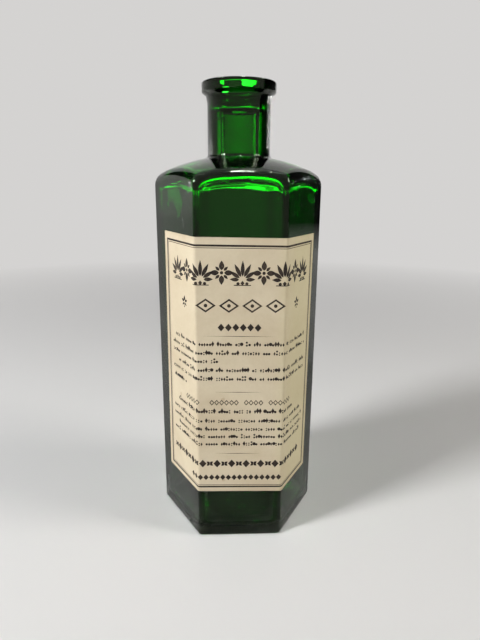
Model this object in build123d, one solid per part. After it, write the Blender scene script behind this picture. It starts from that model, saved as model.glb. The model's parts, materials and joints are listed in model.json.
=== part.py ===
from build123d import *
import math
import os

# A six-sided glass bottle with a domed shoulder, a round neck and a wrapped paper label.
# Millimetres, +Z up, origin at the middle of the base, front panel facing -Y.

# Outside of the glass
bottle_height = 204.2
across_flats = 66.2
corner_radius = 1.6
shoulder_edge_radius = 5.6
base_edge_radius = 1.5
neck_rise = 29.8
dome_radius = 80.0
neck_diameter = 28.1
neck_root_radius = 1.6
rim_radius = 0.9

# Inside of the glass
panel_wall = 3.6
shoulder_wall = 4.2
floor_thickness = 4.0
inner_corner_radius = 6.0
inner_floor_radius = 3.0
inner_shoulder_radius = 5.0
neck_bore_radius = 7.6
mouth_bore_radius = 9.0
mouth_bore_depth = 11.5
mouth_step_height = 1.0
bore_root_radius = 5.0

# Shallow push-up under the base
push_up_radius = 21.0
push_up_depth = 1.4

# Applied lip
lip_overhang = 2.4
lip_band_height = 4.3
lip_chamfer_height = 1.4
lip_collar_height = 4.4
lip_collar_spread = 0.55
lip_edge_radius = 0.8

# Label
label_width = 95.6
label_foot = 24.15
label_headroom = 33.25
label_tilt_angle = 0.8
paste_thickness = 0.06
paste_margin = 0.4
paper_thickness = 0.12

# Printing
ink_thickness = 0.02
border_side_margin = 2.4
border_top_margin = 3.0
border_foot_margin = 2.0
thick_rule = 0.8
thin_rule = 0.24
rule_gap = 0.45
word_gap = 1.5

# Dividing rules: height of each up the label, then where it starts and ends either side
divider_shares = ((0.642, -0.34, 0.31), (0.424, -0.23, 0.2), (0.169, -0.22, 0.2))

# Rows of blocks: middle height, row height, start and end either side of the middle
row_shares = (
    (0.874, 0.092, -0.82, 0.83),
    (0.756, 0.054, -0.41, 0.40),
    (0.674, 0.030, -0.21, 0.18),
    (0.610, 0.015, -0.81, 0.83),
    (0.576, 0.015, -0.87, 0.86),
    (0.545, 0.015, -0.87, -0.20),
    (0.510, 0.015, -0.75, 0.85),
    (0.476, 0.015, -0.87, 0.87),
    (0.438, 0.015, -0.85, -0.63),
    (0.382, 0.022, -0.58, 0.51),
    (0.344, 0.017, -0.77, 0.61),
    (0.305, 0.014, -0.87, 0.81),
    (0.271, 0.014, -0.87, 0.82),
    (0.240, 0.014, -0.77, 0.83),
    (0.208, 0.014, -0.86, 0.82),
    (0.125, 0.034, -0.87, 0.80),
    (0.065, 0.025, -0.51, 0.42),
)
row_words = (9, 4, 5, 9, 8, 3, 8, 9, 2, 7, 7, 9, 8, 9, 8, 9, 5)
word_spread_share = 0.4
word_turn = 2.4

# A cut runs this far past what it cuts
overrun = 5.0

panel_angle = 60
apothem = across_flats / 2
face_width = across_flats * math.tan(math.radians(panel_angle / 2))
neck_radius = neck_diameter / 2
lip_radius = neck_radius + lip_overhang
flat_half = face_width / 2 - corner_radius * math.tan(math.radians(panel_angle / 2))
corner_run = corner_radius * math.radians(panel_angle)
dome_top = bottle_height - neck_rise
dome_centre = dome_top - dome_radius
neck_root = dome_centre + math.sqrt(dome_radius**2 - neck_radius**2)
neck_bottom = neck_root + neck_root_radius
label_half = label_width / 2
label_bottom = label_foot
label_top = dome_top - label_headroom
label_height = label_top - label_bottom
label_middle_height = (label_bottom + label_top) / 2
paper_top_lift = paste_thickness + paper_thickness


def hexagon_prism(inset, corner, bottom, top):
    """Upright six-sided prism with a flat side facing -Y and rounded corners."""
    outline = RegularPolygon(apothem - inset, 6, major_radius=False)
    outline = fillet(outline.vertices(), corner)
    return extrude(Pos(0, 0, bottom) * outline, amount=top - bottom)


def domed_cylinder(radius, bottom):
    """Round body under a spherical cap that keeps the dome's own centre."""
    column = extrude(Pos(0, 0, bottom) * Circle(radius), amount=dome_centre - bottom)
    return column + Pos(0, 0, dome_centre) * Sphere(radius)


def domed_slab(inset, bottom, top_radius, shoulder_edge):
    """Two facing panels under the dome, with the rounded shoulder along each of them."""
    width = 2 * (face_width + overrun)
    block = Box(width, 2 * (apothem - inset), dome_top - bottom, align=(Align.CENTER, Align.CENTER, Align.MIN))
    slab = Pos(0, 0, bottom) * block & domed_cylinder(top_radius, bottom)
    arches = slab.faces().sort_by(Axis.Z)[-1].edges().sort_by(Axis.Y)
    return fillet([arches[0], arches[-1]], shoulder_edge)


def rounded_body(inset, bottom, top_radius, corner, shoulder_edge, floor_edge):
    """Six-sided body under a dome, with its corners, shoulder and floor edges rounded."""
    slab = domed_slab(inset, bottom, top_radius, shoulder_edge)
    block = hexagon_prism(inset, corner, bottom, dome_top)
    for pair in range(3):
        block &= Rot(0, 0, pair * panel_angle) * slab
    return fillet(block.faces().sort_by(Axis.Z)[0].edges(), floor_edge)


def outside():
    """Outer shape of the glass, neck included."""
    body = rounded_body(0, 0, dome_radius, corner_radius, shoulder_edge_radius, base_edge_radius)
    neck = extrude(Pos(0, 0, dome_centre) * Circle(neck_radius), amount=bottle_height - dome_centre)
    glass = body + neck
    root = glass.edges().filter_by_position(Axis.Z, neck_root - rim_radius, neck_root + rim_radius)
    return fillet(root, neck_root_radius)


def cavity():
    """Hollow of the body, with walls that follow the outside."""
    return rounded_body(
        panel_wall,
        floor_thickness,
        dome_radius - shoulder_wall,
        inner_corner_radius,
        inner_shoulder_radius,
        inner_floor_radius,
    )


def bore():
    """Neck bore, opening through a small step into the wider tooled mouth."""
    mouth_bottom = bottle_height - mouth_bore_depth
    outline = Polyline(
        (0, dome_centre),
        (neck_bore_radius, dome_centre),
        (neck_bore_radius, mouth_bottom - mouth_step_height),
        (mouth_bore_radius, mouth_bottom),
        (mouth_bore_radius, bottle_height),
        (0, bottle_height),
        close=True,
    )
    return revolve(Plane.XZ * make_face(outline), Axis.Z)


def push_up():
    """Shallow round hollow under the base, cut by a large ball."""
    ball = (push_up_radius**2 + push_up_depth**2) / (2 * push_up_depth)
    return Pos(0, 0, push_up_depth - ball) * Sphere(ball)


def blown_glass():
    """The whole blown bottle, without its lip."""
    hollow = cavity() + bore()
    inner_root = dome_centre + math.sqrt((dome_radius - shoulder_wall) ** 2 - neck_bore_radius**2)
    root = hollow.edges().filter_by_position(Axis.Z, inner_root - rim_radius, inner_root + rim_radius)
    hollow = fillet(root, bore_root_radius)
    glass = outside() - hollow - push_up()
    rim = glass.edges().filter_by(GeomType.CIRCLE).sort_by(Axis.Z)[-2:]
    return fillet(rim.sort_by(SortBy.RADIUS)[0], rim_radius)


def bottle_body():
    """Panels, domed shoulder and floor, up to where the neck runs straight."""
    return split(blown_glass(), Plane.XY.offset(neck_bottom), keep=Keep.BOTTOM)


def bottle_neck():
    """Straight round neck, with the wider tooled mouth at its top."""
    return split(blown_glass(), Plane.XY.offset(neck_bottom), keep=Keep.TOP)


def applied_lip():
    """Ring of glass laid round the top of the neck: a band over a chamfer and a thin collar."""
    band_bottom = bottle_height - lip_band_height
    outline = make_face(
        Polyline(
            (neck_radius, band_bottom - lip_collar_height),
            (neck_radius + lip_collar_spread, band_bottom - lip_chamfer_height),
            (lip_radius, band_bottom),
            (lip_radius, bottle_height),
            (neck_radius, bottle_height),
            close=True,
        )
    )
    outline = fillet(outline.vertices().group_by(Axis.X)[-1], lip_edge_radius)
    return revolve(Plane.XZ * outline, Axis.Z)


def wrap_point(run, lift):
    """Place on the wrap: run is the length along the glass from the front's middle."""
    side = 1 if run >= 0 else -1
    past = abs(run) - flat_half
    if past <= 0:
        return (run, -(apothem + lift))
    turn = min(past / corner_radius, math.radians(panel_angle))
    reach = corner_radius + lift
    x = flat_half + reach * math.sin(turn)
    y = corner_radius - apothem - reach * math.cos(turn)
    straight = max(past - corner_run, 0)
    x += straight * math.cos(turn)
    y += straight * math.sin(turn)
    return (side * x, y)


def wrap_edge(start, end, lift):
    """One edge of the wrap, straight on a panel and an arc round a corner."""
    middle = (start + end) / 2
    on_corner = flat_half < abs(middle) < flat_half + corner_run
    if on_corner:
        return ThreePointArc(wrap_point(start, lift), wrap_point(middle, lift), wrap_point(end, lift))
    return Line(wrap_point(start, lift), wrap_point(end, lift))


def wrap_strip(start, end, low_lift, high_lift, bottom, top):
    """Sheet that follows the glass from start to end, between two lifts off it."""
    far = flat_half + corner_run
    bends = [bend for bend in (-far, -flat_half, flat_half, far) if start < bend < end]
    stops = [start] + bends + [end]
    outline = Curve()
    for one, two in zip(stops, stops[1:]):
        outline += wrap_edge(one, two, low_lift)
        outline += wrap_edge(one, two, high_lift)
    for end_run in (start, end):
        outline += Line(wrap_point(end_run, low_lift), wrap_point(end_run, high_lift))
    return extrude(Pos(0, 0, bottom) * make_face(outline), amount=top - bottom)


def tilted_slab(middle, height):
    """Wide slab that lies parallel to the label's rows, at a height on the front's middle."""
    slab = Box(bottle_height, bottle_height, height)
    return Pos(0, 0, middle) * Rot(0, label_tilt_angle, 0) * slab


def row_strip(start, end, low_lift, high_lift, bottom, top):
    """Wrapped strip between heights, with its top and bottom parallel to the label's rows."""
    middle = (bottom + top) / 2
    shift = (middle - label_middle_height) * math.sin(math.radians(label_tilt_angle))
    strip = wrap_strip(start + shift, end + shift, low_lift, high_lift, bottom - overrun, top + overrun)
    return strip & tilted_slab(middle, top - bottom)


def beyond_end(side, reach):
    """Block past one end of the label, squared to the tilted rows on that side's panel."""
    x, y = wrap_point(side * reach, 0)
    turn = math.radians(panel_angle)
    along = (side * math.cos(turn), math.sin(turn), 0)
    outward = (side * math.sin(turn), -math.cos(turn), 0)
    panel = Plane(origin=(x, y, label_middle_height), x_dir=along, z_dir=outward)
    block = Box(2 * overrun, bottle_height, overrun, align=(Align.MIN, Align.CENTER, Align.CENTER))
    return panel * Rot(0, 0, -label_tilt_angle) * block


def label_sheet(reach, low_lift, high_lift, bottom, top):
    """Sheet on three panels, a tilted rectangle when it is laid out flat."""
    sheet = wrap_strip(
        -reach - overrun, reach + overrun, low_lift, high_lift, bottom - overrun, top + overrun
    )
    sheet &= tilted_slab((bottom + top) / 2, top - bottom)
    return sheet - beyond_end(-1, reach) - beyond_end(1, reach)


def label_paste():
    """Dried paste under the paper, a little short of its edges."""
    reach = label_half - paste_margin
    low = label_bottom + paste_margin
    high = label_top - paste_margin
    return label_sheet(reach, 0, paste_thickness, low, high)


def label_paper():
    """The paper sheet, stuck down on three panels."""
    return label_sheet(label_half, paste_thickness, paper_top_lift, label_bottom, label_top)


def ink_frame(inset, width):
    """Closed frame of one rule, this far inside the border's outer edge."""
    reach = label_half - border_side_margin - inset
    low = label_bottom + border_foot_margin + inset
    high = label_top - border_top_margin - inset
    ink = (paper_top_lift, paper_top_lift + ink_thickness)
    whole = label_sheet(reach, *ink, low, high)
    return whole - label_sheet(reach - width, *ink, low + width, high - width)


def ink_block(start, end, middle, height):
    """One printed block on the paper, parallel to the label's rows."""
    low = middle - height / 2
    high = middle + height / 2
    return row_strip(start, end, paper_top_lift, paper_top_lift + ink_thickness, low, high)


def label_border():
    """Printed border, a thick rule with a thin one inside it, and the short dividing rules."""
    rules = [ink_frame(0, thick_rule), ink_frame(thick_rule + rule_gap, thin_rule)]
    for height_share, start_share, end_share in divider_shares:
        middle = label_bottom + label_height * height_share
        rules.append(ink_block(label_half * start_share, label_half * end_share, middle, thin_rule))
    return Compound(children=rules)


def word_runs(row, words, start, end):
    """Start and end of each block in a row, in uneven lengths that fill it."""
    lengths = [1 + word_spread_share * math.sin(word_turn * (word + row)) for word in range(words)]
    scale = (end - start - word_gap * (words - 1)) / sum(lengths)
    runs = []
    for length in lengths:
        runs.append((start, start + length * scale))
        start += length * scale + word_gap
    return runs


def label_rows():
    """Printed rows between the rules: plain blocks in place of words."""
    blocks = []
    for row, (shares, words) in enumerate(zip(row_shares, row_words)):
        middle, height = (label_height * share for share in shares[:2])
        row_start, row_end = (label_half * share for share in shares[2:])
        for start, end in word_runs(row, words, row_start, row_end):
            blocks.append(ink_block(start, end, label_bottom + middle, height))
    return Compound(children=blocks)


pieces = {
    "bottle_body": bottle_body,
    "bottle_neck": bottle_neck,
    "applied_lip": applied_lip,
    "label_paste": label_paste,
    "label_paper": label_paper,
    "label_border": label_border,
    "label_rows": label_rows,
}

os.makedirs("parts", exist_ok=True)
for name, make in pieces.items():
    export_step(make(), f"parts/{name}.step")
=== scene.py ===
import json
import math
import random
import bmesh
import bpy
from mathutils import Matrix, Vector, noise

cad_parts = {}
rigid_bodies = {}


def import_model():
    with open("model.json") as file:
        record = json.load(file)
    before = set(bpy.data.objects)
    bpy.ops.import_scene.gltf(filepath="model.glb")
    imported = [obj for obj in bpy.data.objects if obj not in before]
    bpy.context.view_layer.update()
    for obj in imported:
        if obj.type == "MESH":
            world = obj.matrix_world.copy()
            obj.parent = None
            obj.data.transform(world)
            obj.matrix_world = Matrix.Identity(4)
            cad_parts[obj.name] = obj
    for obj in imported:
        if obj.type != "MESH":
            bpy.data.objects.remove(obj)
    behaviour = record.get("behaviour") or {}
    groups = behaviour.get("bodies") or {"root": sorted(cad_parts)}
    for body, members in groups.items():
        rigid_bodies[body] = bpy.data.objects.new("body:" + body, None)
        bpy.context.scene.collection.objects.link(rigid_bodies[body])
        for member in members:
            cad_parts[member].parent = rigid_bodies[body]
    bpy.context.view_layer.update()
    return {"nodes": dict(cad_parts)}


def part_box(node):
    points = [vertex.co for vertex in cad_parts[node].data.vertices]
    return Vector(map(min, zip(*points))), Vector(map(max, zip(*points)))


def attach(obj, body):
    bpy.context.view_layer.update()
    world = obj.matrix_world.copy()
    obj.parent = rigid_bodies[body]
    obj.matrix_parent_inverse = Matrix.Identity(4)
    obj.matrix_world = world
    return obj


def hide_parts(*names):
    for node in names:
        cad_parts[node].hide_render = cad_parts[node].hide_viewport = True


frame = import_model()
mm = 0.001
scene = bpy.context.scene


def boxOf(node):
    low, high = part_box(node)
    return Vector(low), Vector(high)


def newObject(name, data):
    item = bpy.data.objects.new(name, data)
    scene.collection.objects.link(item)
    return item


# The camera stands in front, a little to the left, and looks down on the bottle
camera = {
    "place": (-8.1129 * mm, -238.524 * mm, 163.163 * mm),
    "right": (0.999321, -0.036511, 0.005014),
    "up": (0.004859, 0.265385, 0.964130),
    "forward": (0.036532, 0.963451, -0.265382),
    "lens": 28.42,
    "sensor": 36.0,
    "nearest": 5 * mm,
}


def makeCamera():
    data = bpy.data.cameras.new("camera")
    data.lens = camera["lens"]
    data.sensor_width = camera["sensor"]
    data.clip_start = camera["nearest"]
    item = newObject("camera", data)
    back = [-v for v in camera["forward"]]
    turn = Matrix((camera["right"], camera["up"], back)).transposed()
    item.matrix_world = Matrix.Translation(camera["place"]) @ turn.to_4x4()
    scene.camera = item


makeCamera()
print("camera placed")


# Short ways to build node trees
def newSocket(tree, name, kind, default=None, side="INPUT"):
    socket = tree.interface.new_socket(name=name, in_out=side, socket_type=kind)
    if default is not None:
        socket.default_value = default
    return socket


def put(tree, kind, inputs=None, **settings):
    node = tree.nodes.new(kind)
    for name, value in settings.items():
        setattr(node, name, value)
    for key, value in (inputs or {}).items():
        if isinstance(value, bpy.types.NodeSocket):
            tree.links.new(value, node.inputs[key])
        else:
            node.inputs[key].default_value = value
    return node


def calc(tree, operation, *values):
    kind = "ShaderNodeMath"
    return put(tree, kind, dict(enumerate(values)), operation=operation).outputs[0]


def mixColour(tree, share, one, two):
    one, two = [v if isinstance(v, bpy.types.NodeSocket) else (*v, 1) for v in (one, two)]
    node = put(tree, "ShaderNodeMix", {0: share, 6: one, 7: two}, data_type="RGBA")
    return node.outputs[2]


def runModifier(item, tree, values):
    # gives the object a plain mesh made by the tree, with the tree's inputs set by identifier
    modifier = item.modifiers.new(tree.name, "NODES")
    modifier.node_group = tree
    for entry in tree.interface.items_tree:
        if entry.item_type == "SOCKET" and entry.in_out == "INPUT" and entry.name in values:
            modifier[entry.identifier] = values[entry.name]
    bpy.context.view_layer.update()
    seen = item.evaluated_get(bpy.context.evaluated_depsgraph_get())
    mesh = bpy.data.meshes.new_from_object(seen)
    item.modifiers.clear()
    item.data = mesh
    mesh.name = item.name
    return item


# The glass: one closed skin, outside and inside, laid out as columns round the bottle
glass = {
    "cornerRadius": 1.6 * mm,
    "shoulderEdge": 5.6 * mm,
    "baseEdge": 1.5 * mm,
    "domeTop": 174.4 * mm,
    "domeRadius": 80.0 * mm,
    "neckRoot": 1.6 * mm,
    "pushUpRadius": 21.0 * mm,
    "pushUpDepth": 1.4 * mm,
    "panelWall": 3.6 * mm,
    "shoulderWall": 4.2 * mm,
    "floor": 4.0 * mm,
    "innerCorner": 6.0 * mm,
    "innerFloorEdge": 3.0 * mm,
    "innerShoulderEdge": 5.0 * mm,
    "boreRadius": 7.6 * mm,
    "mouthRadius": 9.0 * mm,
    "mouthDepth": 11.5 * mm,
    "mouthStep": 1.0 * mm,
    "mouthCrease": 0.5 * mm,
    "boreRoot": 5.0 * mm,
    "lipBand": 4.3 * mm,
    "lipChamfer": 1.4 * mm,
    "collarSpread": 0.55 * mm,
    "lipEdge": 0.8 * mm,
    "collarCrease": 0.6 * mm,
    "neckBlend": 3.0 * mm,
    "rimEdge": 0.9 * mm,
    "lipStart": 2.0 * mm,        # the lip's run begins this far below the lip
    "lipFinish": 3.0 * mm,       # and ends this far below the foot of the mouth
    "lipStep": 0.5 * mm,
    "outerSkin": 0.01 * mm,      # the outside lies at least this far inside the mould's line
    "outerWave": 0.05 * mm,
    "innerWave": 0.40 * mm,
    "lipWave": 0.14 * mm,
    "boreWaveShare": 0.35,
    "rootWaveShare": 0.5,
    "seamHeight": 0.05 * mm,
    "seamHalf": 0.45 * mm,
    "seamTurns": (-35.0, 145.0),
    "seamFoot": 165 * mm,
    "seamFade": 5 * mm,
    # broad and fine waves: how fine, how much of each, and a shift that sets them apart
    "outerGrain": {"sizes": (55, 190), "shares": (0.65, 0.35), "shift": (3, 1, 7)},
    "innerGrain": {"sizes": (38, 120), "shares": (1.1, 0.35), "shift": (9, 4, 2)},
    # columns of a half panel, in degrees from its middle: even ones, then closer at the corner
    "evenColumns": 9,
    "cornerColumns": (21.5, 23.2, 24.8, 26.2, 27.4, 28.2, 28.65, 28.95, 29.25, 29.5, 29.75),
    "arcStep": math.radians(14),
    # how many points each stretch of the outline has
    "steps": {
        "pushUp": 10, "foot": 5, "footEdge": 6, "panel": 96, "shoulderEdge": 10, "dome": 26,
        "neckRoot": 7, "neck": 14, "innerDome": 22, "innerShoulder": 8, "innerPanel": 60,
        "innerFloorEdge": 8, "innerFloor": 9,
    },
}
bodyHigh = boxOf("bottle_body")[1]
neckHigh = boxOf("bottle_neck")[1]
lipLow, lipHigh = boxOf("applied_lip")
apothem = bodyHigh.y
neckRadius = neckHigh.x
lipRadius = lipHigh.x
bottleTop = neckHigh.z
domeCentre = glass["domeTop"] - glass["domeRadius"]
panelCount = 6
panelTurn = 2 * math.pi / panelCount


def wallRadius(angle, flat, corner):
    # distance from the axis to a six-sided wall with rounded corners
    off = abs((angle + math.pi / 2 + panelTurn / 2) % panelTurn - panelTurn / 2)
    half = (flat - corner) * math.tan(panelTurn / 2)
    if flat * math.tan(off) <= half:
        return flat / math.cos(off)
    centre = (flat - corner) / math.cos(panelTurn / 2)
    turn = panelTurn / 2 - off
    return centre * math.cos(turn) + math.sqrt(corner**2 - (centre * math.sin(turn)) ** 2)


def straight(start, end, count):
    # points after start, up to and with end
    shares = [i / count for i in range(1, count + 1)]
    return [tuple(a + (b - a) * share for a, b in zip(start, end)) for share in shares]


def curved(centre, radius, first, last, count):
    turns = [first + (last - first) * i / count for i in range(1, count + 1)]
    return [(centre[0] + radius * math.cos(t), centre[1] + radius * math.sin(t)) for t in turns]


def rounded(corners, spacing):
    # a run of (r, z, radius) corners with arcs in place of the corners that have a radius
    points = []
    last = Vector(corners[0][:2])
    for before, here, after in zip(corners, corners[1:], corners[2:]):
        middle = Vector(here[:2])
        toBefore = (Vector(before[:2]) - middle).normalized()
        toAfter = (Vector(after[:2]) - middle).normalized()
        half = toBefore.angle(toAfter) / 2
        reach = here[2] / math.tan(half)
        start, end = middle + toBefore * reach, middle + toAfter * reach
        points += straight(last, start, max(1, round((start - last).length / spacing)))
        centre = middle + (toBefore + toAfter).normalized() * (here[2] / math.sin(half))
        swing = math.pi - 2 * half
        steps = max(3, round(swing / glass["arcStep"]))
        arm = start - centre
        way = 1 if arm.cross(end - centre) > 0 else -1
        for i in range(1, steps + 1):
            turn = Matrix.Rotation(way * swing * i / steps, 2)
            points.append(tuple(centre + turn @ arm))
        last = end
    finish = Vector(corners[-1][:2])
    points += straight(last, finish, max(1, round((finish - last).length / spacing)))
    return points


def lipRun():
    # from the neck up over the applied lip and down into the bore
    foot = lipLow.z
    band = bottleTop - glass["lipBand"]
    collar = neckRadius + glass["collarSpread"]
    mouthBottom = bottleTop - glass["mouthDepth"]
    return rounded(
        [
            (neckRadius, foot - glass["lipStart"], 0),
            (neckRadius, foot, glass["neckBlend"]),
            (collar, band - glass["lipChamfer"], glass["collarCrease"]),
            (lipRadius, band, glass["lipEdge"]),
            (lipRadius, bottleTop, glass["lipEdge"]),
            (glass["mouthRadius"], bottleTop, glass["rimEdge"]),
            (glass["mouthRadius"], mouthBottom, glass["mouthCrease"]),
            (glass["boreRadius"], mouthBottom - glass["mouthStep"], glass["mouthCrease"]),
            (glass["boreRadius"], mouthBottom - glass["lipFinish"], 0),
        ],
        glass["lipStep"],
    )


def glassColumn(angle, lip):
    # outline of the glass at one turn round the axis, from the push-up's pole to the floor's pole,
    # as (r, z, wave) with the wave's size, below zero where it only presses in
    g = glass
    steps = g["steps"]
    points = []

    def add(run, wave):
        points.extend((r, z, wave) for r, z in run)

    wall = wallRadius(angle, apothem, g["cornerRadius"])
    ball = (g["pushUpRadius"] ** 2 + g["pushUpDepth"] ** 2) / (2 * g["pushUpDepth"])
    pressed = [g["pushUpRadius"] * i / steps["pushUp"] for i in range(1, steps["pushUp"] + 1)]
    add([(r, g["pushUpDepth"] - ball + math.sqrt(ball**2 - r**2)) for r in pressed], 0)
    edge = g["baseEdge"]
    add(straight((g["pushUpRadius"], 0), (wall - edge, 0), steps["foot"]), 0)
    footEdge = curved((wall - edge, edge), edge, -math.pi / 2, 0, steps["footEdge"])
    add(footEdge, -g["outerWave"] / 2)

    # the panel, the shoulder's edge, the dome and the neck
    shoulder = g["shoulderEdge"] * wall / apothem
    dome = g["domeRadius"]
    footHeight = math.sqrt((dome - shoulder) ** 2 - (wall - shoulder) ** 2)
    footTurn = math.atan2(footHeight, wall - shoulder)
    panelTop = domeCentre + footHeight
    add(straight((wall, edge), (wall, panelTop), steps["panel"]), -g["outerWave"])
    turned = curved((wall - shoulder, panelTop), shoulder, 0, footTurn, steps["shoulderEdge"])
    add(turned, -g["outerWave"])
    rootReach = neckRadius + g["neckRoot"]
    rootHeight = math.sqrt((dome + g["neckRoot"]) ** 2 - rootReach**2)
    rootTurn = math.atan2(rootHeight, rootReach)
    add(curved((0, domeCentre), dome, footTurn, rootTurn, steps["dome"]), -g["outerWave"] * 2)
    root = (rootReach, domeCentre + rootHeight)
    turned = curved(root, g["neckRoot"], rootTurn + math.pi, math.pi, steps["neckRoot"])
    add(turned, -g["outerWave"] * 2)
    neckTop = (neckRadius, lipLow.z - g["lipStart"])
    add(straight((neckRadius, root[1]), neckTop, steps["neck"]), -g["outerWave"] * 2)
    add(lip, -g["lipWave"])

    # back down inside: the bore, the dome, the panel and the floor
    innerDome = dome - g["shoulderWall"]
    boreReach = g["boreRadius"] + g["boreRoot"]
    boreHeight = math.sqrt((innerDome + g["boreRoot"]) ** 2 - boreReach**2)
    boreTurn = math.atan2(boreHeight, boreReach)
    root = (boreReach, domeCentre + boreHeight)
    bore = straight(lip[-1], (g["boreRadius"], root[1]), steps["neck"])
    add(bore, g["innerWave"] * g["boreWaveShare"])
    turned = curved(root, g["boreRoot"], math.pi, math.pi + boreTurn, steps["neckRoot"])
    add(turned, g["innerWave"] * g["rootWaveShare"])
    inner = wallRadius(angle, apothem - g["panelWall"], g["innerCorner"])
    soft = g["innerShoulderEdge"] * inner / (apothem - g["panelWall"])
    softHeight = math.sqrt((innerDome - soft) ** 2 - (inner - soft) ** 2)
    softTurn = math.atan2(softHeight, inner - soft)
    softTop = domeCentre + softHeight
    add(curved((0, domeCentre), innerDome, boreTurn, softTurn, steps["innerDome"]), g["innerWave"])
    add(curved((inner - soft, softTop), soft, softTurn, 0, steps["innerShoulder"]), g["innerWave"])
    edge = g["innerFloorEdge"]
    low = g["floor"] + edge
    add(straight((inner, softTop), (inner, low), steps["innerPanel"]), g["innerWave"])
    turned = curved((inner - edge, low), edge, 0, -math.pi / 2, steps["innerFloorEdge"])
    add(turned, g["innerWave"])
    flat = straight((inner - edge, g["floor"]), (0, g["floor"]), steps["innerFloor"])
    add(flat[:-1], g["innerWave"])
    return points


def seamAt(angle, radius):
    # how much of the mould's seam stands here, from 0 to 1
    most = 0
    for turn in glass["seamTurns"]:
        away = (angle - math.radians(turn) + math.pi) % (2 * math.pi) - math.pi
        most = max(most, math.exp(-((away * radius / glass["seamHalf"]) ** 2)))
    return most


def waveAt(at, grain):
    broad, fine = grain["sizes"]
    broadShare, fineShare = grain["shares"]
    shift = Vector(grain["shift"])
    return broadShare * noise.noise(at * broad) + fineShare * noise.noise(at * fine + shift)


def pushAt(at, r, angle, wave):
    # how far the skin lies out from its plain outline at this place
    if wave > 0:
        return wave * waveAt(at, glass["innerGrain"])
    if wave == 0:
        return 0
    push = -glass["outerSkin"] + wave * (0.5 + 0.5 * waveAt(at, glass["outerGrain"]))
    fade = min(max((at.z - glass["seamFoot"]) / glass["seamFade"], 0), 1)
    return push + glass["seamHeight"] * (seamAt(angle, r) - 1) * fade


def makeGlass():
    even, corner = glass["evenColumns"], glass["cornerColumns"]
    half = [corner[0] * i / even for i in range(1, even)] + list(corner)
    turns = sorted([-v for v in half] + [0] + half) + [math.degrees(panelTurn / 2)]
    panels = [math.degrees(panelTurn) * panel - 90 for panel in range(panelCount)]
    angles = [math.radians(middle + turn) for middle in panels for turn in turns]
    lip = lipRun()
    columns = [glassColumn(angle, lip) for angle in angles]
    rows = len(columns[0])
    vertices = []
    for row in range(rows):
        for angle, column in zip(angles, columns):
            r, z, wave = column[row]
            before = column[max(row - 1, 0)]
            after = column[min(row + 1, rows - 1)]
            along = Vector((after[0] - before[0], after[1] - before[1])).normalized()
            outward = Vector((along.y, -along.x))
            at = Vector((r * math.cos(angle), r * math.sin(angle), z))
            push = pushAt(at, r, angle, wave)
            r += push * outward.x
            vertices.append((r * math.cos(angle), r * math.sin(angle), z + push * outward.y))
    count = len(angles)
    lowPole, highPole = len(vertices), len(vertices) + 1
    pole = Vector((0, 0, glass["floor"]))
    lifted = pole.z + glass["innerWave"] * waveAt(pole, glass["innerGrain"])
    vertices += [(0, 0, glass["pushUpDepth"]), (0, 0, lifted)]
    faces = []
    for row in range(rows - 1):
        low, high = row * count, (row + 1) * count
        for one in range(count):
            two = (one + 1) % count
            faces.append((low + one, low + two, high + two, high + one))
    last = (rows - 1) * count
    for one in range(count):
        two = (one + 1) % count
        faces.append((lowPole, two, one))
        faces.append((highPole, last + one, last + two))
    mesh = bpy.data.meshes.new("glassBottle")
    mesh.from_pydata(vertices, [], faces)
    mesh.shade_smooth()
    return newObject("glassBottle", mesh)


glassBottle = makeGlass()
print("glass", len(glassBottle.data.vertices), "points")


# The label is laid out flat, p across and q up from its middle, and then wrapped on three panels
label = {
    "width": 95.6 * mm,
    "height": 117.0 * mm,
    "middle": 82.65 * mm,
    "tilt": 0.8,
    "lift": 0.06 * mm,
    "thickness": 0.12 * mm,
    "ink": 0.02 * mm,
    "edgeWander": 0.10 * mm,
    "wanderSizes": (160, 130),   # how fine the wander is up the sides and along the ends
    "wanderPower": 40,           # the higher, the nearer to the edge it stays
    "step": 0.4 * mm,
    "rows": 96,
    "bendCuts": 12,
    "cutNear": 1e-7,
    "wornEdge": 3.0 * mm,
}
inkLift = label["lift"] + label["thickness"]


def finishTree(tree, shape, material):
    real = put(tree, "GeometryNodeRealizeInstances", {0: shape}).outputs[0]
    dressed = put(tree, "GeometryNodeSetMaterial", {
        "Geometry": real, "Material": material,
    }).outputs[0]
    put(tree, "NodeGroupOutput", {0: dressed})


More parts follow.
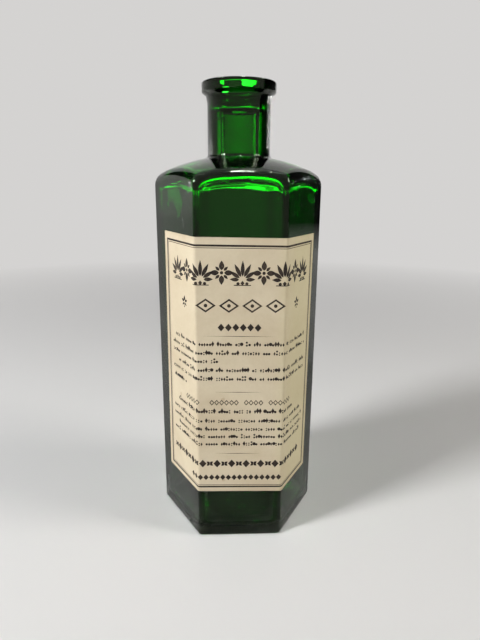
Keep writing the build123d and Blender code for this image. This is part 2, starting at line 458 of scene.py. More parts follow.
def wrapTree():
    tree = bpy.data.node_groups.new("wrapOnBottle", "GeometryNodeTree")
    newSocket(tree, "Flat sheet", "NodeSocketGeometry")
    newSocket(tree, "Apothem", "NodeSocketFloat", apothem)
    newSocket(tree, "Corner radius", "NodeSocketFloat", glass["cornerRadius"])
    newSocket(tree, "Tilt", "NodeSocketFloat", math.radians(label["tilt"]))
    newSocket(tree, "Middle height", "NodeSocketFloat", label["middle"])
    newSocket(tree, "Material", "NodeSocketMaterial")
    newSocket(tree, "Wrapped", "NodeSocketGeometry", side="OUTPUT")
    given = put(tree, "NodeGroupInput").outputs
    place = put(tree, "GeometryNodeInputPosition").outputs[0]
    across, up, lift = put(tree, "ShaderNodeSeparateXYZ", {0: place}).outputs
    cos = calc(tree, "COSINE", given["Tilt"])
    sin = calc(tree, "SINE", given["Tilt"])
    run = calc(tree, "ADD", calc(tree, "MULTIPLY", across, cos), calc(tree, "MULTIPLY", up, sin))
    rise = calc(tree, "MULTIPLY", up, cos)
    rise = calc(tree, "SUBTRACT", rise, calc(tree, "MULTIPLY", across, sin))
    height = calc(tree, "ADD", rise, given["Middle height"])
    flatHalf = calc(tree, "SUBTRACT", given["Apothem"], given["Corner radius"])
    flatHalf = calc(tree, "MULTIPLY", flatHalf, math.tan(panelTurn / 2))
    far = calc(tree, "ABSOLUTE", run)
    onFlat = calc(tree, "MINIMUM", far, flatHalf)
    past = calc(tree, "MAXIMUM", calc(tree, "SUBTRACT", far, flatHalf), 0.0)
    turn = calc(tree, "MINIMUM", calc(tree, "DIVIDE", past, given["Corner radius"]), panelTurn)
    cornerRun = calc(tree, "MULTIPLY", given["Corner radius"], panelTurn)
    beyond = calc(tree, "MAXIMUM", calc(tree, "SUBTRACT", past, cornerRun), 0.0)
    reach = calc(tree, "ADD", given["Corner radius"], lift)
    turnCos = calc(tree, "COSINE", turn)
    turnSin = calc(tree, "SINE", turn)
    outX = calc(tree, "ADD", onFlat, calc(tree, "MULTIPLY", reach, turnSin))
    outX = calc(tree, "ADD", outX, calc(tree, "MULTIPLY", beyond, turnCos))
    outX = calc(tree, "MULTIPLY", outX, calc(tree, "SIGN", run))
    outY = calc(tree, "SUBTRACT", given["Corner radius"], given["Apothem"])
    outY = calc(tree, "SUBTRACT", outY, calc(tree, "MULTIPLY", reach, turnCos))
    outY = calc(tree, "ADD", outY, calc(tree, "MULTIPLY", beyond, turnSin))
    point = put(tree, "ShaderNodeCombineXYZ", {0: outX, 1: outY, 2: height}).outputs[0]
    moved = put(tree, "GeometryNodeSetPosition", {
        "Geometry": given["Flat sheet"], "Position": point,
    }).outputs[0]
    finishTree(tree, moved, given["Material"])
    return tree


wrapOnBottle = wrapTree()


def onBottle(item, material):
    return runModifier(item, wrapOnBottle, {"Material": material})


def cutAtBends(mesh):
    # extra cuts where a flat piece will bend round the two corners of the glass
    tilt = math.radians(label["tilt"])
    across = Vector((math.cos(tilt), math.sin(tilt), 0))
    flatHalf = (apothem - glass["cornerRadius"]) * math.tan(panelTurn / 2)
    bend = glass["cornerRadius"] * panelTurn
    work = bmesh.new()
    work.from_mesh(mesh)
    cuts = label["bendCuts"]
    for side in (-1, 1):
        for i in range(cuts + 1):
            at = across * side * (flatHalf + bend * i / cuts)
            bmesh.ops.bisect_plane(
                work, geom=work.verts[:] + work.edges[:] + work.faces[:],
                plane_co=at, plane_no=across, dist=label["cutNear"],
            )
    work.to_mesh(mesh)
    work.free()


def wanderIn(share, at):
    # how far a cut edge lies in here, with share from -1 to 1 across the sheet
    near = abs(share) ** label["wanderPower"]
    ragged = 0.5 + 0.5 * noise.noise(Vector(at))
    return label["edgeWander"] * near * ragged * (1 if share > 0 else -1)


def makePaper():
    # a thin closed sheet whose cut edges wander a little
    countP = round(label["width"] / label["step"])
    countQ = label["rows"]
    sizeQ, sizeP = label["wanderSizes"]
    vertices = []
    for lift in (inkLift, label["lift"]):
        for j in range(countQ + 1):
            for i in range(countP + 1):
                p = label["width"] * (i / countP - 0.5)
                q = label["height"] * (j / countQ - 0.5)
                inP = wanderIn(2 * i / countP - 1, (p, q * sizeQ, 2))
                inQ = wanderIn(2 * j / countQ - 1, (p * sizeP, q, 5))
                vertices.append((p - inP, q - inQ, lift))
    wide = countP + 1
    sheet = wide * (countQ + 1)
    faces = []
    for j in range(countQ):
        for i in range(countP):
            a = j * wide + i
            top = (a, a + 1, a + 1 + wide, a + wide)
            faces += [top, [v + sheet for v in (top[0], top[3], top[2], top[1])]]
    rim = list(range(countP))
    rim += [j * wide + countP for j in range(countQ)]
    rim += [countQ * wide + i for i in range(countP, 0, -1)]
    rim += [j * wide for j in range(countQ, 0, -1)]
    faces += [(a, a + sheet, b + sheet, b) for a, b in zip(rim, rim[1:] + rim[:1])]
    mesh = bpy.data.meshes.new("labelPaper")
    mesh.from_pydata(vertices, [], faces)
    cutAtBends(mesh)
    worn = mesh.attributes.new("edgeNear", "FLOAT", "POINT")
    halfP, halfQ = label["width"] / 2, label["height"] / 2
    inside = [min(halfP - abs(v.co.x), halfQ - abs(v.co.y)) for v in mesh.vertices]
    worn.data.foreach_set("value", [max(0, 1 - far / label["wornEdge"]) for far in inside])
    return newObject("labelPaper", mesh)


# Shapes of the ornaments, each a list of outlines that don't overlap, one unit high
leafPoints = 9
leafBelly = 0.8              # the smaller, the nearer to its foot a leaf is widest
lineTake = 2.4               # how much of a diamond its line takes, over its smaller side


def leafShape(x, y, length, width, turn):
    outline = []
    for side in (1, -1):
        for i in range(leafPoints):
            t = i / leafPoints if side > 0 else 1 - i / leafPoints
            half = side * width / 2 * math.sin(math.pi * t**leafBelly)
            outline.append((t * length, half))
    c, s = math.cos(math.radians(turn)), math.sin(math.radians(turn))
    return [(x + a * c - b * s, y + a * s + b * c) for a, b in reversed(outline)]


def diamond(x, y, wide, tall):
    return [(x - wide / 2, y), (x, y - tall / 2), (x + wide / 2, y), (x, y + tall / 2)]


def dot(x, y, radius, points=12):
    turns = [2 * math.pi * i / points for i in range(points)]
    return [(x + radius * math.cos(t), y + radius * math.sin(t)) for t in turns]


def bar(left, low, right, high):
    return [(left, low), (right, low), (right, high), (left, high)]


def frameOf(outer, inner):
    # four strips between two outlines of four corners
    return [[outer[i], outer[(i + 1) % 4], inner[(i + 1) % 4], inner[i]] for i in range(4)]


def openDiamond(x, y, wide, tall, line):
    outer = diamond(x, y, wide, tall)
    shrink = 1 - line / min(wide, tall) * lineTake
    inner = [(x + (a - x) * shrink, y + (b - y) * shrink) for a, b in outer]
    return frameOf(outer, inner)


palmetteShape = {
    # turn away from upright, length
    "leaves": ((0, 0.62), (27, 0.56), (-27, 0.56), (56, 0.47), (-56, 0.47), (88, 0.36), (-88, 0.36)),
    "leafWidth": 0.15,
    "feet": (0.133, 0.13, -0.27),   # how far the leaves' feet lie out and up, and from what height
    "drop": (0, -0.40, 0.16, 0.19),
    "dots": ((-0.17, -0.42, 0.062), (0.17, -0.42, 0.062)),
    "bar": (-0.33, -0.50, 0.33, -0.464),
}


def palmette():
    sizes = palmetteShape
    out, up, foot = sizes["feet"]
    shapes = []
    for turn, length in sizes["leaves"]:
        x = out * math.cos(math.radians(90 + turn))
        y = foot + up * math.cos(math.radians(turn))
        shapes.append(leafShape(x, y, length, sizes["leafWidth"], 90 + turn))
    return shapes + [diamond(*sizes["drop"]), *[dot(*at) for at in sizes["dots"]], bar(*sizes["bar"])]


quatrefoilShape = {
    # foot's distance from the middle, length, width
    "petal": (0.10, 0.37, 0.205),
    "between": (0.12, 0.22, 0.11),
    "heart": 0.065,
}


def quatrefoil():
    shapes = []
    for eighth in range(8):
        turn = 45 * eighth
        start, length, width = quatrefoilShape["between" if eighth % 2 else "petal"]
        c, s = math.cos(math.radians(turn)), math.sin(math.radians(turn))
        shapes.append(leafShape(start * c, start * s, length, width, turn))
    return shapes + [dot(0, 0, quatrefoilShape["heart"])]


fleuronShape = {
    # foot across and up, length, width, turn
    "upright": ((0, 0.07, 0.44, 0.27, 90), (0, -0.07, 0.30, 0.10, 270)),
    "sides": ((0.07, 0.02, 0.42, 0.24, 18), (0.08, -0.13, 0.34, 0.17, -38)),
    "drop": (0, -0.44, 0.075),
}


def fleuron():
    shapes = [leafShape(*leaf) for leaf in fleuronShape["upright"]]
    for x, y, length, width, turn in fleuronShape["sides"]:
        shapes.append(leafShape(x, y, length, width, turn))
        shapes.append(leafShape(-x, y, length, width, 180 - turn))
    return shapes + [dot(*fleuronShape["drop"])]


motifs = {
    "motif0Palmette": palmette(),
    "motif1Quatrefoil": quatrefoil(),
    "motif2WideDiamond": openDiamond(0, 0, 1.42, 1.0, 0.12) + [dot(0, 0, 0.13)],
    "motif3Fleuron": fleuron(),
    "motif4Diamond": [diamond(0, 0, 0.86, 1.0)],
    "motif5SlimDiamond": [diamond(0, 0, 0.56, 1.0)],
    "motif6Dot": [dot(0, -0.05, 0.33, 8)],
    "motif7TwoDots": [dot(0, 0.27, 0.19, 8), dot(0, -0.27, 0.19, 8)],
    "motif8SmallOpenDiamond": openDiamond(0, 0, 0.80, 1.0, 0.13),
    "motif9LeafPair": [
        leafShape(x, 0, 0.44, 0.30, turn)
        for x, turn in ((0.02, 38), (-0.02, 142), (0.02, -38), (-0.02, -142))
    ],
}

# Each printed row, in millimetres on the flat label
printedRows = [
    {"q": 44.0, "tall": 10.8, "from": -35.0, "to": 35.2, "pitch": 8.75, "motifs": (0, 1)},
    {"q": 30.1, "tall": 6.0, "from": -15.2, "to": 14.2, "pitch": 9.8, "motifs": (2,)},
    {"q": 29.8, "tall": 5.2, "from": -29.0, "to": 29.4, "pitch": 58.2, "motifs": (3,)},
    {"q": 20.6, "tall": 3.4, "from": -8.6, "to": 7.1, "pitch": 3.1, "motifs": (4,)},
    {"q": 12.95, "tall": 1.7, "from": -38.6, "to": 39.5, "words": True},
    {"q": 8.95, "tall": 1.7, "from": -41.2, "to": 41.0, "words": True},
    {"q": 5.25, "tall": 1.7, "from": -41.2, "to": -9.4, "words": True},
    {"q": 1.15, "tall": 1.7, "from": -35.6, "to": 40.5, "words": True},
    {"q": -2.85, "tall": 1.7, "from": -41.2, "to": 41.2, "words": True},
    {"q": -7.3, "tall": 1.7, "from": -40.5, "to": -29.8, "words": True},
    {"q": -13.9, "tall": 2.7, "from": -27.6, "to": 24.5, "pitch": 2.2, "motifs": (8,),
     "gaps": (5, 6, 13, 18)},
    {"q": -18.3, "tall": 1.9, "from": -36.5, "to": 29.0, "words": True},
    {"q": -22.9, "tall": 1.7, "from": -41.2, "to": 38.7, "words": True},
    {"q": -26.9, "tall": 1.7, "from": -41.2, "to": 39.2, "words": True},
    {"q": -30.6, "tall": 1.7, "from": -36.5, "to": 39.6, "words": True},
    {"q": -34.3, "tall": 1.7, "from": -41.0, "to": 39.0, "words": True},
    {"q": -44.1, "tall": 3.9, "from": -39.6, "to": 36.6, "pitch": 3.35, "motifs": (9, 4)},
    {"q": -51.2, "tall": 2.9, "from": -22.6, "to": 18.6, "pitch": 2.60, "motifs": (4,)},
]
words = {
    "pitch": 1.12,
    "gap": 1.15,
    "least": 2,
    "most": 9,
    "motifs": (5, 6, 5, 6, 7),
    "tallShare": 0.22,
    "tallTimes": 1.45,
    "seed": 20,
}
setting = {
    "uneven": 0.06 * mm,
    "seed": 4,
}


def rowPoints():
    # one point for each ornament: place, motif and height
    dice = random.Random(words["seed"])
    points = []
    for row in printedRows:
        if "words" not in row:
            count = round((row["to"] - row["from"]) / row["pitch"])
            for i in range(count + 1):
                if i in row.get("gaps", ()):
                    continue
                p = row["from"] + (row["to"] - row["from"]) * i / max(count, 1)
                points.append((p, row["q"], row["motifs"][i % len(row["motifs"])], row["tall"]))
            continue
        p = row["from"]
        left = 0
        while p < row["to"] - words["pitch"] / 2:
            if left == 0:
                left = dice.randint(words["least"], words["most"])
                p += words["gap"] if p > row["from"] else 0
            motif = dice.choice(words["motifs"])
            tall = row["tall"] * (words["tallTimes"] if dice.random() < words["tallShare"] else 1.0)
            q = row["q"] + (tall - row["tall"]) / 2
            points.append((p + words["pitch"] / 2, q, motif, tall))
            p += words["pitch"]
            left -= 1
    return points


def readPoints(tree, name, kind):
    node = put(tree, "GeometryNodeInputNamedAttribute", {"Name": name}, data_type=kind)
    return node.outputs["Attribute"]


def ornamentTree():
    tree = bpy.data.node_groups.new("ornamentRows", "GeometryNodeTree")
    newSocket(tree, "Row points", "NodeSocketGeometry")
    newSocket(tree, "Motifs", "NodeSocketCollection")
    newSocket(tree, "Lift", "NodeSocketFloat", 0.0)
    newSocket(tree, "Thickness", "NodeSocketFloat", 0.001)
    newSocket(tree, "Uneven setting", "NodeSocketFloat", 0.0)
    newSocket(tree, "Seed", "NodeSocketInt", 0)
    newSocket(tree, "Material", "NodeSocketMaterial")
    newSocket(tree, "Ornaments", "NodeSocketGeometry", side="OUTPUT")
    given = put(tree, "NodeGroupInput").outputs
    picked = readPoints(tree, "motif", "INT")
    tall = readPoints(tree, "tall", "FLOAT")
    shapes = put(tree, "GeometryNodeCollectionInfo", {
        "Collection": given["Motifs"], "Separate Children": True, "Reset Children": True,
    }).outputs[0]
    most = given["Uneven setting"]
    least = calc(tree, "MULTIPLY", most, -1.0)
    jitter = put(tree, "FunctionNodeRandomValue", {
        0: put(tree, "ShaderNodeCombineXYZ", {0: least, 1: least}).outputs[0],
        1: put(tree, "ShaderNodeCombineXYZ", {0: most, 1: most}).outputs[0],
        "Seed": given["Seed"],
    }, data_type="FLOAT_VECTOR")
    shifted = put(tree, "GeometryNodeSetPosition", {
        "Geometry": given["Row points"], "Offset": jitter.outputs[0],
    }).outputs[0]
    size = put(tree, "ShaderNodeCombineXYZ", {0: tall, 1: tall, 2: given["Thickness"]}).outputs[0]
    placed = put(tree, "GeometryNodeInstanceOnPoints", {
        "Points": shifted, "Instance": shapes, "Pick Instance": True, "Instance Index": picked,
        "Scale": size,
    }).outputs[0]
    up = put(tree, "ShaderNodeCombineXYZ", {2: given["Lift"]}).outputs[0]
    lifted = put(tree, "GeometryNodeTranslateInstances", {
        "Instances": placed, "Translation": up, "Local Space": False,
    }).outputs[0]
    finishTree(tree, lifted, given["Material"])
    return tree


def prismMesh(name, outlines, low=0.0, high=1.0):
    # closed flat prisms over outlines that run anticlockwise
    vertices, faces = [], []
    for outline in outlines:
        start, count = len(vertices), len(outline)
        vertices += [(x, y, low) for x, y in outline] + [(x, y, high) for x, y in outline]
        faces.append([start + count + i for i in range(count)])
        faces.append([start + i for i in reversed(range(count))])
        for i in range(count):
            j = (i + 1) % count
            faces.append((start + i, start + j, start + count + j, start + count + i))
    mesh = bpy.data.meshes.new(name)
    mesh.from_pydata(vertices, [], faces)
    return mesh


def makeOrnaments(material):
    shelf = bpy.data.collections.new("motifs")
    for name, outlines in motifs.items():
        mesh = prismMesh(name, outlines)
        work = bmesh.new()
        work.from_mesh(mesh)
        bmesh.ops.recalc_face_normals(work, faces=work.faces)
        work.to_mesh(mesh)
        work.free()
        shelf.objects.link(bpy.data.objects.new(name, mesh))
    points = rowPoints()
    mesh = bpy.data.meshes.new("labelOrnaments")
    mesh.from_pydata([(p * mm, q * mm, 0) for p, q, motif, tall in points], [], [])
    picked = mesh.attributes.new("motif", "INT", "POINT")
    picked.data.foreach_set("value", [motif for p, q, motif, tall in points])
    heights = mesh.attributes.new("tall", "FLOAT", "POINT")
    heights.data.foreach_set("value", [tall * mm for p, q, motif, tall in points])
    item = newObject("labelOrnaments", mesh)
    runModifier(item, ornamentTree(), {
        "Motifs": shelf, "Lift": inkLift, "Thickness": label["ink"],
        "Uneven setting": setting["uneven"], "Seed": setting["seed"], "Material": material,
    })
    for shape in list(shelf.objects):
        bpy.data.objects.remove(shape)
    bpy.data.collections.remove(shelf)
    cutAtBends(item.data)
    return onBottle(item, material)


# Border and dividing rules, in millimetres on the flat label
rules = {
    "sideMargin": 2.4,
    "topMargin": 3.0,
    "footMargin": 2.0,
    "thick": 0.8,
    "gap": 0.45,
    "thin": 0.24,
    # height, left end and right end
    "dividers": ((16.7, -16.2, 14.8), (-8.94, -10.9, 9.5), (-38.9, -10.5, 9.5)),
    "dividerHalf": 0.12,
}


def makeRules(material):
    outlines = []
    inset = 0
    for wide in (rules["thick"], rules["thin"]):
        right = label["width"] / mm / 2 - rules["sideMargin"] - inset
        top = label["height"] / mm / 2 - rules["topMargin"] - inset
        foot = -label["height"] / mm / 2 + rules["footMargin"] + inset
        outer = bar(-right, foot, right, top)
        inner = bar(wide - right, foot + wide, right - wide, top - wide)
        outlines += frameOf(outer, inner)
        inset += wide + rules["gap"]
    half = rules["dividerHalf"]
    for q, start, end in rules["dividers"]:
        middle = 0.5 * (start + end)
        outlines.append([(start, q), (middle, q - half), (end, q), (middle, q + half)])
    outlines = [[(p * mm, q * mm) for p, q in outline] for outline in outlines]
    mesh = prismMesh("labelRules", outlines, inkLift, inkLift + label["ink"])
    item = newObject("labelRules", mesh)
    cutAtBends(item.data)
    return onBottle(item, material)


# An effect that all the finishes share
mottleGrain = {
    "broad": {"Detail": 4.0, "Roughness": 0.6, "Distortion": 0.4},
    "fine": {"Detail": 3.0, "Roughness": 0.65},
    "speckEdge": (0.32, 0.18),
}


def grainOf(tree, place, looks):
    return put(tree, "ShaderNodeTexNoise", {"Vector": place, **looks}).outputs[0]


def mottleGroup():
    # slow and fine unevenness and scattered specks, from the place on the object
    tree = bpy.data.node_groups.new("mottle", "ShaderNodeTree")
    newSocket(tree, "Place", "NodeSocketVector")
    newSocket(tree, "Broad size", "NodeSocketFloat", 40.0)
    newSocket(tree, "Fine size", "NodeSocketFloat", 400.0)
    newSocket(tree, "Speck size", "NodeSocketFloat", 300.0)
    newSocket(tree, "Speck share", "NodeSocketFloat", 0.1)
    for name in ("Broad", "Fine", "Specks"):
        newSocket(tree, name, "NodeSocketFloat", side="OUTPUT")
    given = put(tree, "NodeGroupInput").outputs
    place = given["Place"]
    broad = grainOf(tree, place, {"Scale": given["Broad size"], **mottleGrain["broad"]})
    fine = grainOf(tree, place, {"Scale": given["Fine size"], **mottleGrain["fine"]})
    sized = {"Vector": place, "Scale": given["Speck size"]}
    cells = put(tree, "ShaderNodeTexVoronoi", sized).outputs
    chosen = put(tree, "ShaderNodeSeparateColor", {0: cells["Color"]}).outputs[0]
    rare = calc(tree, "LESS_THAN", chosen, given["Speck share"])
    small = spread(tree, cells["Distance"], *mottleGrain["speckEdge"])
    specks = calc(tree, "MULTIPLY", rare, small)
    put(tree, "NodeGroupOutput", {0: broad, 1: fine, 2: specks})
    return tree


def newMaterial(name):
    material = bpy.data.materials.new(name)
    material.use_nodes = True
    tree = material.node_tree
    tree.nodes.clear()
    shader = put(tree, "ShaderNodeBsdfPrincipled")
    out = put(tree, "ShaderNodeOutputMaterial", {0: shader.outputs[0]})
    place = put(tree, "ShaderNodeTexCoord").outputs["Object"]
    return material, tree, shader, out, place


def spread(tree, value, low, high, outLow=0.0, outHigh=1.0):
    inputs = {0: value, 1: low, 2: high, 3: outLow, 4: outHigh}
    return put(tree, "ShaderNodeMapRange", inputs).outputs[0]


mottle = mottleGroup()


def mottleOf(tree, *values):
    # the place, the broad, fine and speck sizes, and the specks' share
    return put(tree, "ShaderNodeGroup", dict(enumerate(values)), node_tree=mottle).outputs


def bumpOf(tree, height, strength, distance, normal=None):
    inputs = {"Height": height, "Strength": strength, "Distance": distance}
    if normal is not None:
        inputs["Normal"] = normal
    return put(tree, "ShaderNodeBump", inputs).outputs[0]


# In each finish, tone or film gives broad, fine and speck sizes and the specks' share. A share or
# roughness gives the mask's low and high and what they become, and a bump its strength and depth.
glassLooks = {
    "absorb": (0.28, 0.70, 0.32, 1),
    "density": 1500.0,
    "sheen": (0.40, 0.50, 0.34, 1),
    "ior": 1.52,
    "film": (45.0, 700.0, 420.0, 0.06),
    "filmBroad": (0.50, 0.72),
    "filmFine": (0.35, 0.75),
    "roughness": (0.0, 1.0, 0.02, 0.16),
    "waves": {"Scale": 260.0, "Detail": 2.0},
    "waveBump": (0.18, 0.06 * mm),
    "speckBump": (0.35, 0.05 * mm),
}


def greenGlass():
    looks = glassLooks
    material, tree, shader, out, place = newMaterial("greenGlass")
    shader.inputs["Base Color"].default_value = (1, 1, 1, 1)
    shader.inputs["Transmission Weight"].default_value = 1
    shader.inputs["IOR"].default_value = looks["ior"]
    shader.inputs["Specular Tint"].default_value = looks["sheen"]
    film = mottleOf(tree, place, *looks["film"])
    dust = spread(tree, film["Broad"], *looks["filmBroad"])
    dust = calc(tree, "MULTIPLY", dust, spread(tree, film["Fine"], *looks["filmFine"]))
    dust = calc(tree, "MAXIMUM", dust, film["Specks"])
    rough = spread(tree, dust, *looks["roughness"])
    tree.links.new(rough, shader.inputs["Roughness"])
    bump = bumpOf(tree, grainOf(tree, place, looks["waves"]), *looks["waveBump"])
    bump = bumpOf(tree, film["Specks"], *looks["speckBump"], bump)
    tree.links.new(bump, shader.inputs["Normal"])
    absorb = put(tree, "ShaderNodeVolumeAbsorption", {
        "Color": looks["absorb"], "Density": looks["density"],
    })
    tree.links.new(absorb.outputs[0], out.inputs["Volume"])
    return material


paperLooks = {
    "cream": (0.65, 0.56, 0.405),
    "deep": (0.50, 0.40, 0.26),
    # painted light: a yellow tint that stands in for yellowish light falling on the right panel,
    # painted into the paper's colour
    "paintedYellowLight": (0.62, 0.56, 0.32),
    "edge": (0.42, 0.31, 0.18),
    "foxing": (0.33, 0.21, 0.11),
    "tone": (34.0, 900.0, 260.0, 0.012),
    "deepShare": (0.42, 0.78, 0.0, 0.75),
    "paintedYellowLightShare": (14 * mm, 24 * mm, 0.0, 0.55),   # towards the right panel
    "wearShare": (0.30, 0.65, 0.05, 0.50),
    "wearPower": 3.0,
    "foxingShare": 0.35,
    "fibreShare": (0.3, 0.7, 0.0, 0.14),
    "roughness": (0.3, 0.7, 0.72, 0.92),
    "gloss": 0.3,
    "creases": {"Scale": 90.0, "Detail": 3.0, "Distortion": 1.2},
    "creaseBump": (0.35, 0.25 * mm),
    "fibreBump": (0.4, 0.04 * mm),
}


def agedPaper():
    looks = paperLooks
    material, tree, shader, out, place = newMaterial("agedPaper")
    tone = mottleOf(tree, place, *looks["tone"])
    deep = spread(tree, tone["Broad"], *looks["deepShare"])
    colour = mixColour(tree, deep, looks["cream"], looks["deep"])
    # painted light: towards the right panel the paper's colour turns yellow, standing in for a
    # yellowish light there
    side = put(tree, "ShaderNodeSeparateXYZ", {0: place}).outputs[0]
    paintedYellowLight = spread(tree, side, *looks["paintedYellowLightShare"])
    colour = mixColour(tree, paintedYellowLight, colour, looks["paintedYellowLight"])
    near = put(tree, "ShaderNodeAttribute", attribute_name="edgeNear").outputs["Fac"]
    near = calc(tree, "POWER", near, looks["wearPower"])
    wear = calc(tree, "MULTIPLY", near, spread(tree, tone["Broad"], *looks["wearShare"]))
    colour = mixColour(tree, wear, colour, looks["edge"])
    spots = calc(tree, "MULTIPLY", tone["Specks"], looks["foxingShare"])
    colour = mixColour(tree, spots, colour, looks["foxing"])
    fibres = spread(tree, tone["Fine"], *looks["fibreShare"])
    colour = mixColour(tree, fibres, colour, looks["deep"])
    tree.links.new(colour, shader.inputs["Base Color"])
    tree.links.new(spread(tree, tone["Fine"], *looks["roughness"]), shader.inputs["Roughness"])
    shader.inputs["Specular IOR Level"].default_value = looks["gloss"]
    bump = bumpOf(tree, grainOf(tree, place, looks["creases"]), *looks["creaseBump"])
    bump = bumpOf(tree, tone["Fine"], *looks["fibreBump"], bump)
    tree.links.new(bump, shader.inputs["Normal"])
    return material


inkLooks = {
    "ink": (0.020, 0.013, 0.010),
    "worn": (0.10, 0.07, 0.045),
    "tone": (60.0, 1500.0, 900.0, 0.10),
    "wornBroad": (0.45, 0.75),
    "wornFine": (0.3, 0.65),
    "speckShare": 0.8,
    "roughness": (0.3, 0.7, 0.60, 0.85),
    "gloss": 0.3,
    "bump": (0.3, 0.01 * mm),
}


def printingInk():
    looks = inkLooks
    material, tree, shader, out, place = newMaterial("printingInk")
    tone = mottleOf(tree, place, *looks["tone"])
    worn = spread(tree, tone["Broad"], *looks["wornBroad"])
    worn = calc(tree, "MULTIPLY", worn, spread(tree, tone["Fine"], *looks["wornFine"]))
    specks = calc(tree, "MULTIPLY", tone["Specks"], looks["speckShare"])
    worn = calc(tree, "MAXIMUM", worn, specks)
    colour = mixColour(tree, worn, looks["ink"], looks["worn"])
    tree.links.new(colour, shader.inputs["Base Color"])
    tree.links.new(spread(tree, tone["Fine"], *looks["roughness"]), shader.inputs["Roughness"])
    shader.inputs["Specular IOR Level"].default_value = looks["gloss"]
    tree.links.new(bumpOf(tree, tone["Fine"], *looks["bump"]), shader.inputs["Normal"])
    return material


pasteLooks = {
    "pale": (0.52, 0.43, 0.27),
    "dark": (0.36, 0.26, 0.13),
    "speck": (0.24, 0.16, 0.08),
    "tone": (55.0, 500.0, 350.0, 0.2),
    "darkShare": (0.35, 0.7),
    "speckShare": 0.6,
    "roughness": (0.3, 0.7, 0.35, 0.6),
    "bump": (0.4, 0.05 * mm),
}


def driedPaste():
    looks = pasteLooks
    material, tree, shader, out, place = newMaterial("driedPaste")
    tone = mottleOf(tree, place, *looks["tone"])
    dark = spread(tree, tone["Broad"], *looks["darkShare"])
    colour = mixColour(tree, dark, looks["pale"], looks["dark"])
    specks = calc(tree, "MULTIPLY", tone["Specks"], looks["speckShare"])
    colour = mixColour(tree, specks, colour, looks["speck"])
    tree.links.new(colour, shader.inputs["Base Color"])
    tree.links.new(spread(tree, tone["Fine"], *looks["roughness"]), shader.inputs["Roughness"])
    tree.links.new(bumpOf(tree, tone["Broad"], *looks["bump"]), shader.inputs["Normal"])
    return material


green = greenGlass()
paper = agedPaper()
ink = printingInk()
paste = driedPaste()
glassBottle.data.materials.append(green)
labelPaper = onBottle(makePaper(), paper)
print("label paper wrapped")
labelRules = makeRules(ink)
labelOrnaments = makeOrnaments(ink)
print("label printed", len(labelOrnaments.data.polygons), "faces")
for slot in frame["nodes"]["label_paste"].material_slots:
    slot.material = paste


# A round cove, open at the top: a pale floor that curves up all round
studio = {
    "floorRadius": 1.25,
    "bend": 0.6,
    "height": 2.0,
    "colour": (0.64, 0.63, 0.62),
    "roughness": 0.9,
    "gloss": 0.1,
    "shown": (0.66, 0.65, 0.64),
    "shownFrom": 0.32,
    "shownTo": 0.85,
    "sky": (0.66, 0.67, 0.69),
    "skyLight": 0.30,
    "rings": (30, 16, 6),        # on the floor, in the bend and up the wall
    "around": 96,
}
white = (1.0, 1.0, 1.0)
lampAim = Vector((0, 0, 95 * mm))
lamps = [
    # name, place, size across, size up, watts, colour, what sees the lamp, shape
    ("keyPanel", (-0.80, -0.42, 0.70), 0.24, 0.32, 13.0, (0.97, 0.985, 1.0), "all", "RECTANGLE"),
    ("sidePanel", (0.72, -0.20, 0.68), 0.30, 0.30, 4.4, (1.0, 0.98, 0.94), "all", "RECTANGLE"),
    ("topStrip", (0.05, -0.20, 0.93), 0.16, 0.06, 6.0, white, "gloss", "RECTANGLE"),
    ("archGlow", (0.0, 0.02, 0.57), 1.30, 0.22, 100.0, white, "glass", "ELLIPSE"),
    ("ringGlowLeft", (-0.110, 0.462, 0.2745), 0.06, 0.05, 0.7, white, "glass", "ELLIPSE"),
    ("ringGlowRight", (0.085, 0.468, 0.2745), 0.12, 0.05, 1.2, white, "glass", "ELLIPSE"),
    ("baseGlow", (-0.088, 0.415, 0.385), 0.08, 0.06, 1.4, white, "glass", "ELLIPSE"),
    ("leftGlow", (-0.386, 0.302, 0.215), 0.26, 0.07, 8.0, white, "glass", "ELLIPSE"),
    ("rightGlow", (0.347, 0.347, 0.215), 0.26, 0.07, 8.0, white, "glass", "ELLIPSE"),
    ("edgeGlow", (-0.43, 0.25, 0.15), 0.07, 0.07, 0.6, white, "glass", "ELLIPSE"),
    ("neckGlow", (0.0, 0.45, 0.220), 0.46, 0.06, 2.4, white, "glass", "RECTANGLE"),
]
# Black cards, out of the camera's sight, that deepen the glass
cards = {
    "places": [(-12, 52, 0.002, 1.7), (130, 172, 0.45, 1.7)],   # turns from and to, heights from and to
    "reach": 1.0,
    "fade": (0.0, 0.07),         # clear at the floor, black from here up
    "steps": 24,
    "colour": (0.01, 0.01, 0.01),
    "roughness": 1.0,
}


def seenRays(tree):
    path = put(tree, "ShaderNodeLightPath").outputs
    seen = calc(tree, "MAXIMUM", path["Is Camera Ray"], path["Is Glossy Ray"])
    return calc(tree, "MAXIMUM", seen, path["Is Transmission Ray"])


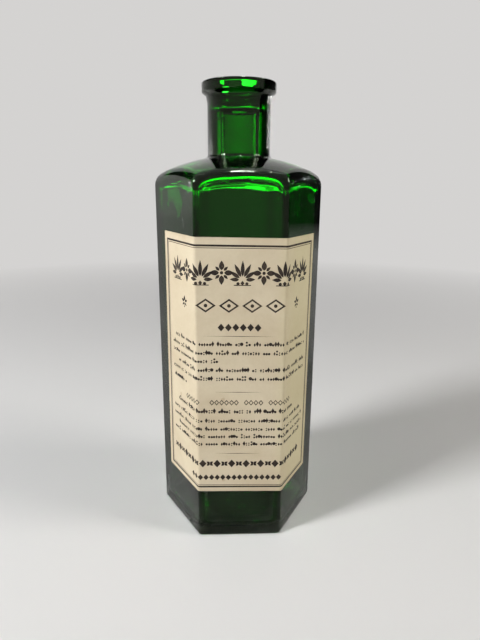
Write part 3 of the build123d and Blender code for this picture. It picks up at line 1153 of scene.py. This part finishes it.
def makeCove():
    reach, bend = studio["floorRadius"], studio["bend"]
    floorRings, bendRings, wallRings = studio["rings"]
    profile = straight((0, 0), (reach, 0), floorRings)
    profile += curved((reach, bend), bend, -math.pi / 2, 0, bendRings)
    profile += straight(profile[-1], (profile[-1][0], studio["height"]), wallRings)
    around = studio["around"]
    turns = [2 * math.pi * i / around for i in range(around)]
    vertices = [(0, 0, 0)]
    for r, z in profile:
        vertices += [(r * math.cos(turn), r * math.sin(turn), z) for turn in turns]
    faces = [(0, 1 + i, 1 + (i + 1) % around) for i in range(around)]
    for row in range(len(profile) - 1):
        a = 1 + row * around
        for i in range(around):
            j = (i + 1) % around
            faces.append((a + i, a + around + i, a + around + j, a + j))
    mesh = bpy.data.meshes.new("cove")
    mesh.from_pydata(vertices, [], faces)
    mesh.shade_smooth()
    item = newObject("cove", mesh)
    material, tree, shader, out, place = newMaterial("paleCove")
    shader.inputs["Base Color"].default_value = (*studio["colour"], 1)
    shader.inputs["Roughness"].default_value = studio["roughness"]
    shader.inputs["Specular IOR Level"].default_value = studio["gloss"]
    glow = put(tree, "ShaderNodeEmission", {0: (*studio["shown"], 1), 1: 1.0})
    away = put(tree, "ShaderNodeVectorMath", {0: place}, operation="LENGTH").outputs["Value"]
    far = spread(tree, away, studio["shownFrom"], studio["shownTo"])
    share = calc(tree, "MULTIPLY", far, seenRays(tree))
    mixed = put(tree, "ShaderNodeMixShader", {0: share, 1: shader.outputs[0], 2: glow.outputs[0]})
    tree.links.new(mixed.outputs[0], out.inputs[0])
    mesh.materials.append(material)


def makeDarkCards():
    vertices, faces = [], []
    count = cards["steps"]
    for first, last, low, high in cards["places"]:
        begin = len(vertices)
        for i in range(count + 1):
            turn = math.radians(first + (last - first) * i / count)
            x, y = cards["reach"] * math.cos(turn), cards["reach"] * math.sin(turn)
            vertices += [(x, y, low), (x, y, high)]
        faces += [(a, a + 1, a + 3, a + 2) for a in range(begin, begin + 2 * count, 2)]
    mesh = bpy.data.meshes.new("darkCards")
    mesh.from_pydata(vertices, [], faces)
    item = newObject("darkCards", mesh)
    item.visible_camera = item.visible_shadow = item.visible_diffuse = False
    material, tree, shader, out, place = newMaterial("blackCard")
    shader.inputs["Base Color"].default_value = (*cards["colour"], 1)
    shader.inputs["Roughness"].default_value = cards["roughness"]
    height = put(tree, "ShaderNodeSeparateXYZ", {0: place}).outputs[2]
    black = spread(tree, height, *cards["fade"])
    clear = put(tree, "ShaderNodeBsdfTransparent").outputs[0]
    mixed = put(tree, "ShaderNodeMixShader", {0: black, 1: clear, 2: shader.outputs[0]})
    tree.links.new(mixed.outputs[0], out.inputs[0])
    mesh.materials.append(material)


def makeWorld():
    world = bpy.data.worlds.new("studioSky")
    scene.world = world
    world.use_nodes = True
    tree = world.node_tree
    tree.nodes.clear()
    colour = (*studio["sky"], 1)
    light = put(tree, "ShaderNodeBackground", {0: colour, 1: studio["skyLight"]}).outputs[0]
    shown = put(tree, "ShaderNodeBackground", {0: colour, 1: 1.0}).outputs[0]
    mixed = put(tree, "ShaderNodeMixShader", {0: seenRays(tree), 1: light, 2: shown}).outputs[0]
    put(tree, "ShaderNodeOutputWorld", {0: mixed})


def makeLamps():
    for name, place, across, up, watts, colour, seenBy, shape in lamps:
        data = bpy.data.lights.new(name, "AREA")
        data.shape = shape
        data.size, data.size_y = across, up
        data.energy = watts
        data.color = colour
        item = newObject(name, data)
        item.location = place
        item.rotation_euler = (lampAim - Vector(place)).to_track_quat("-Z", "Y").to_euler()
        item.visible_camera = False
        item.visible_diffuse = seenBy == "all"
        item.visible_glossy = seenBy != "glass"
        item.visible_transmission = seenBy != "gloss"


makeCove()
makeDarkCards()
makeWorld()
makeLamps()
scene.view_settings.view_transform = "Standard"
print("studio ready")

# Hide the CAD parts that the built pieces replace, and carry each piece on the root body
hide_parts("bottle_body", "bottle_neck", "applied_lip")
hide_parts("label_paper")
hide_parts("label_border")
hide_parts("label_rows")
for piece, finish in (
    (glassBottle, "green_glass"),
    (labelPaper, "aged_paper"),
    (labelRules, "printing_ink"),
    (labelOrnaments, "printing_ink"),
):
    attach(piece, "root")
